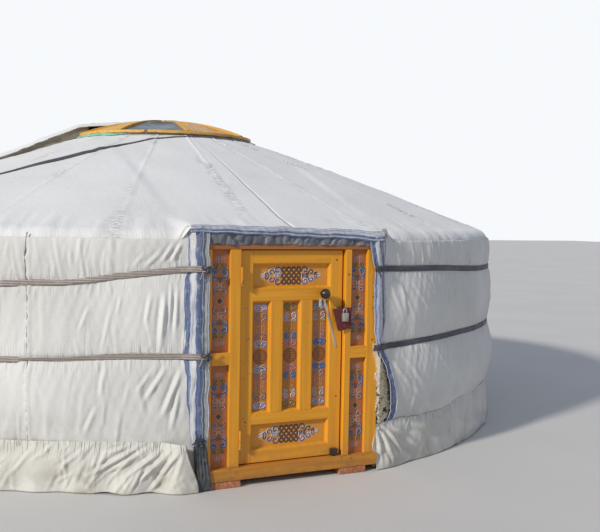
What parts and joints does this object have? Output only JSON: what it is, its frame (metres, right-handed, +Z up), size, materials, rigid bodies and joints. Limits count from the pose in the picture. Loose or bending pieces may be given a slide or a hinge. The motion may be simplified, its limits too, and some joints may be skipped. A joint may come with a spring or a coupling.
{
  "type": "yurt",
  "caption": "Round felt tent with a lattice wall, a cone of roof poles under a domed crown with panes, canvas covers tied with ropes, and a painted panelled door that opens.",
  "frame": {"origin": "on the ground at the middle of the round plan", "axes": "+Z up, the door faces -Y, +X to the right as seen by someone in front of the door"},
  "size_m": [6.0896, 6.0638, 2.6211],
  "materials": {
    "frame_wood": "orange paint, worn satin",
    "crown_wood": "yellow-orange paint, weathered",
    "door_wood": "orange-yellow gloss paint with painted ornament",
    "grey_wood": "bare weathered boards",
    "felt": "thick wool felt",
    "dark_felt": "dark blue-grey felt with folds",
    "canvas": "white cotton canvas",
    "trim_cloth": "blue binding on white canvas",
    "rope": "flat woven webbing",
    "pane": "dusty glass",
    "hinge_metal": "yellow paint over steel",
    "lock_metal": "worn steel",
    "knob_paint": "dark brown gloss",
    "leather": "beige strap",
    "red_felt": "dark red felt pad",
    "brick": "orange-red fired brick"
  },
  "bodies": {
    "base": {"lattice_wall_1": "frame_wood", "lattice_wall_2": "frame_wood", "lattice_wall_3": "frame_wood", "lattice_wall_4": "frame_wood", "lattice_wall_5": "frame_wood", "roof_poles_right": "frame_wood", "roof_poles_left": "frame_wood", "roof_poles_door": "frame_wood", "columns": "frame_wood", "crown_rim": "crown_wood", "crown_ribs": "crown_wood", "crown_hub": "crown_wood", "crown_battens": "crown_wood", "crown_glass": "pane", "crown_boards": "crown_wood", "wall_felt_right": "felt", "wall_felt_left": "felt", "roof_felt_right": "felt", "roof_felt_left": "felt", "wall_canvas": "canvas", "roof_canvas": "canvas", "skirt_right": "canvas", "skirt_left": "canvas", "crown_flap": "canvas", "door_header": "door_wood", "door_posts": "door_wood", "door_mid_rails": "door_wood", "door_side_panels": "door_wood", "door_stops": "door_wood", "door_sill": "door_wood", "sill_bricks": "brick", "hinge_frame_halves": "hinge_metal", "door_hem": "trim_cloth", "door_top_felt": "dark_felt", "door_hood": "canvas", "girth_ropes": "rope", "flap_strap": "rope"},
    "leaf": {"leaf_stiles": "door_wood", "leaf_rails": "door_wood", "leaf_muntins": "door_wood", "leaf_panels": "door_wood", "hinge_leaf_halves": "hinge_metal", "leaf_knob_and_block": "knob_paint", "leaf_strap_and_tag": "leather", "hasp_and_padlock": "lock_metal", "lock_pad": "red_felt"}
  },
  "joints": [
    {"name": "door_hinge", "type": "hinge", "parent": "base", "child": "leaf", "pos_m": [-0.356, -2.967, 0.8], "axis": [0, 0, -1], "range_deg": [0, 120]}
  ]
}
